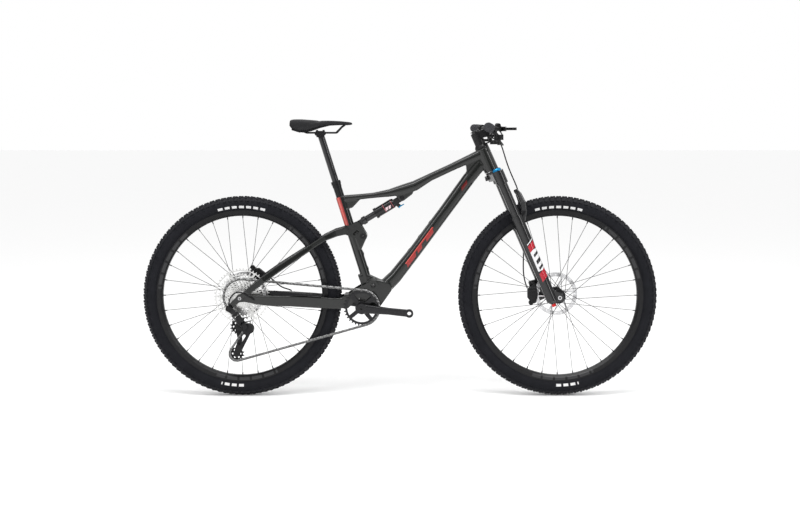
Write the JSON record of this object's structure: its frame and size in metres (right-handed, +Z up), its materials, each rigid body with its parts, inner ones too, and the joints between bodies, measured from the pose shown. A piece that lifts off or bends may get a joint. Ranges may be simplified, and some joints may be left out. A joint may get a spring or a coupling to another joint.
{
  "type": "mountain bike",
  "caption": "Full-suspension mountain bike with four-bar rear linkage, telescopic fork, disc brakes, chain drive, derailleur, dropper seat post and knobbly tyres.",
  "frame": {"origin": "bottom centre of the bicycle's box, on the ground midway between the axles", "axes": "+X forward, +Y the rider's left, +Z up; the drive side is at -Y"},
  "size_m": [1.9047, 0.767, 1.024],
  "materials": {
    "frame_carbon": "gloss",
    "fork_black": "satin",
    "black_alloy": "satin",
    "rim_black": "satin",
    "shock_black": "gloss",
    "anodised_blue": "satin",
    "anodised_red": "satin",
    "tyre_rubber": "matte",
    "grip_rubber": "matte",
    "guard_rubber": "matte",
    "hose_black": "satin",
    "steel": "satin",
    "spoke_black": "satin",
    "chain_steel": "satin",
    "pulley_plastic": "satin",
    "saddle_cover": "satin",
    "saddle_base": "satin"
  },
  "bodies": {
    "frame": {"front_frame": "frame_carbon", "frame_bearings": "steel", "frame_fasteners": "steel", "dropper_outer": "black_alloy", "chain": "chain_steel"},
    "cockpit": {"fork_upper": "fork_black", "stem": "black_alloy", "handlebar": "black_alloy", "grips": "grip_rubber", "controls": "black_alloy", "cockpit_hoses": "hose_black"},
    "fork_lowers": {"fork_lowers": "fork_black", "front_axle": "steel", "front_caliper": "black_alloy", "front_hose": "hose_black"},
    "front_wheel": {"front_tyre": "tyre_rubber", "front_rim": "rim_black", "front_spokes": "spoke_black", "front_hub": "black_alloy", "front_rotor": "steel"},
    "swingarm": {"chainstay": "frame_carbon", "chainstay_guard": "guard_rubber", "rear_axle": "steel", "derailleur_mount": "black_alloy", "derailleur_housing": "hose_black", "rear_hose": "hose_black"},
    "seatstay": {"seatstay": "frame_carbon", "rear_caliper": "black_alloy"},
    "rear_wheel": {"rear_tyre": "tyre_rubber", "rear_rim": "rim_black", "rear_spokes": "spoke_black", "rear_hub": "black_alloy", "rear_rotor": "steel"},
    "crank": {"crankset": "black_alloy", "chainring": "black_alloy"},
    "dropper": {"dropper_inner": "black_alloy", "saddle_shell": "saddle_base", "saddle_pad": "saddle_cover"},
    "front_blade": {"front_blade": "black_alloy"},
    "rear_blade": {"rear_blade": "black_alloy"},
    "shift_paddle": {"shift_paddle": "black_alloy"},
    "release_paddle": {"release_paddle": "black_alloy"},
    "dropper_paddle": {"dropper_paddle": "black_alloy"},
    "compression_knob": {"compression_knob": "anodised_blue"},
    "front_pad_left": {"front_pad_left": "steel"},
    "front_pad_right": {"front_pad_right": "steel"},
    "rebound_knob": {"rebound_knob": "anodised_red"},
    "cassette": {"cassette": "chain_steel"},
    "rear_pad_left": {"rear_pad_left": "steel"},
    "rear_pad_right": {"rear_pad_right": "steel"},
    "rocker": {"rocker": "black_alloy"},
    "shock_body": {"shock_body": "shock_black"},
    "shock_shaft": {"shock_shaft": "shock_black"},
    "shock_lever": {"shock_lever": "anodised_blue"},
    "derailleur_outer_link": {"derailleur_outer_link": "black_alloy"},
    "derailleur_inner_link": {"derailleur_inner_link": "black_alloy"},
    "derailleur_knuckle": {"derailleur_knuckle": "black_alloy"},
    "derailleur_cage": {"derailleur_cage": "black_alloy"},
    "guide_pulley": {"guide_pulley": "pulley_plastic"},
    "tension_pulley": {"tension_pulley": "pulley_plastic"}
  },
  "joints": [
    {"name": "steering", "type": "hinge", "parent": "frame", "child": "cockpit", "pos_m": [0.3223, 0, 0.8718], "axis": [-0.3907, 0, 0.9205], "range_deg": [-60, 60]},
    {"name": "fork_travel", "type": "slide", "parent": "cockpit", "child": "fork_lowers", "axis": [-0.3907, 0, 0.9205], "range_m": [0, 0.116], "stiffness_N_per_m": 6000, "deforming": ["front_hose"]},
    {"name": "front_wheel_spin", "type": "hinge", "parent": "fork_lowers", "child": "front_wheel", "pos_m": [0.5839, 0, 0.3685], "axis": [0, 1, 0], "continuous": true},
    {"name": "swingarm_pivot", "type": "hinge", "parent": "frame", "child": "swingarm", "pos_m": [-0.0986, 0, 0.4097], "axis": [0, 1, 0], "range_deg": [0, 12], "stiffness_Nm_per_rad": 900},
    {"name": "rocker_pivot", "type": "hinge", "parent": "frame", "child": "rocker", "pos_m": [-0.1376, 0, 0.5898], "axis": [0, 1, 0], "range_deg": [0, 45.6]},
    {"name": "seatstay_pivot", "type": "hinge", "parent": "swingarm", "child": "seatstay", "pos_m": [-0.5839, 0, 0.3685], "axis": [0, 1, 0], "range_deg": [-3.6, 0], "deforming": ["rear_hose"]},
    {"name": "shock_pivot", "type": "hinge", "parent": "frame", "child": "shock_body", "pos_m": [0.0072, 0, 0.7306], "axis": [0, 1, 0], "range_deg": [-5.7, 0]},
    {"name": "shock_stroke", "type": "slide", "parent": "shock_body", "child": "shock_shaft", "axis": [0.857, 0, 0.5153], "range_m": [0, 0.0315]},
    {"name": "shock_lever_turn", "type": "hinge", "parent": "shock_body", "child": "shock_lever", "pos_m": [-0.0022, 0, 0.69928], "axis": [0.7834, 0, -0.6215], "range_deg": [0, 80]},
    {"name": "rear_wheel_spin", "type": "hinge", "parent": "swingarm", "child": "rear_wheel", "pos_m": [-0.5839, 0, 0.3685], "axis": [0, 1, 0], "continuous": true},
    {"name": "cassette_spin", "type": "hinge", "parent": "swingarm", "child": "cassette", "pos_m": [-0.5839, 0, 0.3685], "axis": [0, 1, 0], "continuous": true},
    {"name": "crank_spin", "type": "hinge", "parent": "frame", "child": "crank", "pos_m": [-0.1406, 0, 0.3293], "axis": [0, 1, 0], "continuous": true, "deforming": ["chain"]},
    {"name": "shift", "type": "hinge", "parent": "swingarm", "child": "derailleur_outer_link", "pos_m": [-0.59765, -0.09846, 0.31299], "axis": [0.7172, 0.342, 0.6072], "range_deg": [-34, 14.5]},
    {"name": "inner_link_swing", "type": "hinge", "parent": "swingarm", "child": "derailleur_inner_link", "pos_m": [-0.60235, -0.08154, 0.30901], "axis": [0.7172, 0.342, 0.6072], "range_deg": [-34.1, 14.6]},
    {"name": "knuckle_swing", "type": "hinge", "parent": "derailleur_outer_link", "child": "derailleur_knuckle", "pos_m": [-0.57158, -0.08015, 0.27189], "axis": [0.7172, 0.342, 0.6072], "range_deg": [-14.6, 34.1]},
    {"name": "cage_swing", "type": "hinge", "parent": "derailleur_knuckle", "child": "derailleur_cage", "pos_m": [-0.5539, -0.04095, 0.2538], "axis": [0, 1, 0], "range_deg": [-37.8, 88.5]},
    {"name": "guide_pulley_spin", "type": "hinge", "parent": "derailleur_cage", "child": "guide_pulley", "pos_m": [-0.59672, -0.04095, 0.25863], "axis": [0, 1, 0], "continuous": true},
    {"name": "tension_pulley_spin", "type": "hinge", "parent": "derailleur_cage", "child": "tension_pulley", "pos_m": [-0.60008, -0.04095, 0.15978], "axis": [0, 1, 0], "continuous": true},
    {"name": "dropper_slide", "type": "slide", "parent": "frame", "child": "dropper", "axis": [-0.3035, 0, 0.9528], "range_m": [-0.15, 0]},
    {"name": "front_brake_lever", "type": "hinge", "parent": "cockpit", "child": "front_blade", "pos_m": [0.366, 0.24, 0.985], "axis": [0, 0, 1], "range_deg": [0, 18], "stiffness_Nm_per_rad": 1.2},
    {"name": "rear_brake_lever", "type": "hinge", "parent": "cockpit", "child": "rear_blade", "pos_m": [0.366, -0.24, 0.985], "axis": [0, 0, -1], "range_deg": [0, 18], "stiffness_Nm_per_rad": 1.2},
    {"name": "front_pad_left_slide", "type": "slide", "parent": "fork_lowers", "child": "front_pad_left", "axis": [0, -1, 0], "range_m": [0, 0.000305]},
    {"name": "front_pad_right_slide", "type": "slide", "parent": "fork_lowers", "child": "front_pad_right", "axis": [0, 1, 0], "range_m": [0, 0.000305]},
    {"name": "rear_pad_left_slide", "type": "slide", "parent": "seatstay", "child": "rear_pad_left", "axis": [0, -1, 0], "range_m": [0, 0.000305]},
    {"name": "rear_pad_right_slide", "type": "slide", "parent": "seatstay", "child": "rear_pad_right", "axis": [0, 1, 0], "range_m": [0, 0.000305]},
    {"name": "shift_paddle_push", "type": "hinge", "parent": "cockpit", "child": "shift_paddle", "pos_m": [0.35, -0.19, 0.942], "axis": [0, 0, 1], "range_deg": [0, 20], "stiffness_Nm_per_rad": 0.3},
    {"name": "release_paddle_push", "type": "hinge", "parent": "cockpit", "child": "release_paddle", "pos_m": [0.35, -0.19, 0.934], "axis": [0, 0, 1], "range_deg": [0, 12], "stiffness_Nm_per_rad": 0.3},
    {"name": "dropper_paddle_push", "type": "hinge", "parent": "cockpit", "child": "dropper_paddle", "pos_m": [0.35, 0.19, 0.942], "axis": [0, 0, -1], "range_deg": [0, 15], "stiffness_Nm_per_rad": 0.3},
    {"name": "compression_knob_turn", "type": "hinge", "parent": "cockpit", "child": "compression_knob", "pos_m": [0.35422, -0.066, 0.8332], "axis": [-0.3907, 0, 0.9205], "range_deg": [0, 90]},
    {"name": "rebound_knob_turn", "type": "hinge", "parent": "fork_lowers", "child": "rebound_knob", "pos_m": [0.56268, -0.066, 0.34211], "axis": [-0.3907, 0, 0.9205], "range_deg": [-150, 150]}
  ],
  "couplings": [
    {"joint": "rocker_pivot", "follows": "swingarm_pivot", "ratio": 3.79},
    {"joint": "seatstay_pivot", "follows": "swingarm_pivot", "ratio": -0.2949},
    {"joint": "shock_pivot", "follows": "swingarm_pivot", "ratio": -0.4688},
    {"joint": "shock_stroke", "follows": "swingarm_pivot", "m_per_rad": 0.14935},
    {"joint": "cassette_spin", "follows": "crank_spin", "ratio": 1},
    {"joint": "guide_pulley_spin", "follows": "crank_spin", "ratio": -2.4615},
    {"joint": "tension_pulley_spin", "follows": "crank_spin", "ratio": 2.4615},
    {"joint": "inner_link_swing", "follows": "shift", "ratio": 1},
    {"joint": "knuckle_swing", "follows": "shift", "ratio": -1},
    {"joint": "cage_swing", "follows": "shift", "ratio": -2.6},
    {"joint": "front_pad_left_slide", "follows": "front_brake_lever", "m_per_rad": 0.0009549},
    {"joint": "front_pad_right_slide", "follows": "front_brake_lever", "m_per_rad": 0.0009549},
    {"joint": "rear_pad_left_slide", "follows": "rear_brake_lever", "m_per_rad": 0.0009549},
    {"joint": "rear_pad_right_slide", "follows": "rear_brake_lever", "m_per_rad": 0.0009549}
  ]
}
